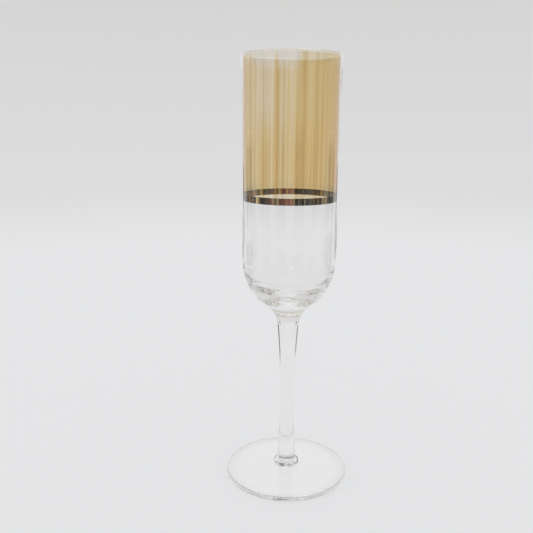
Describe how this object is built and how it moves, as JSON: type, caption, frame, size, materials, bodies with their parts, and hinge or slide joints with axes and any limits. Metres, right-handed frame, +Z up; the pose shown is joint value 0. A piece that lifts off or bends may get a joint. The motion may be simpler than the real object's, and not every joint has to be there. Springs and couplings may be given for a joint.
{
  "type": "champagne flute",
  "caption": "Tall straight stemmed glass for sparkling wine, with an amber lustre and a metallic band inside the bowl, a slim solid stem and a disc foot.",
  "frame": {"origin": "centre of the foot's contact ring, on the surface that the glass stands on", "axes": "+Z up along the axis of the stem and bowl; X and Y are free, because the glass is a body of revolution"},
  "size_m": [0.0708, 0.0708, 0.24],
  "materials": {
    "clear_glass": "clear, fire polished, very slightly grey",
    "amber_lustre": "fired amber lustre, see-through, with a pearly gold sheen",
    "metallic_band": "fired gold and bronze lustre, glossy, darker than the lustre above it"
  },
  "bodies": {
    "root": {"bowl": "clear_glass", "stem": "clear_glass", "foot_button": "clear_glass", "foot": "clear_glass", "amber_lustre": "amber_lustre", "metallic_band": "metallic_band"}
  },
  "joints": []
}
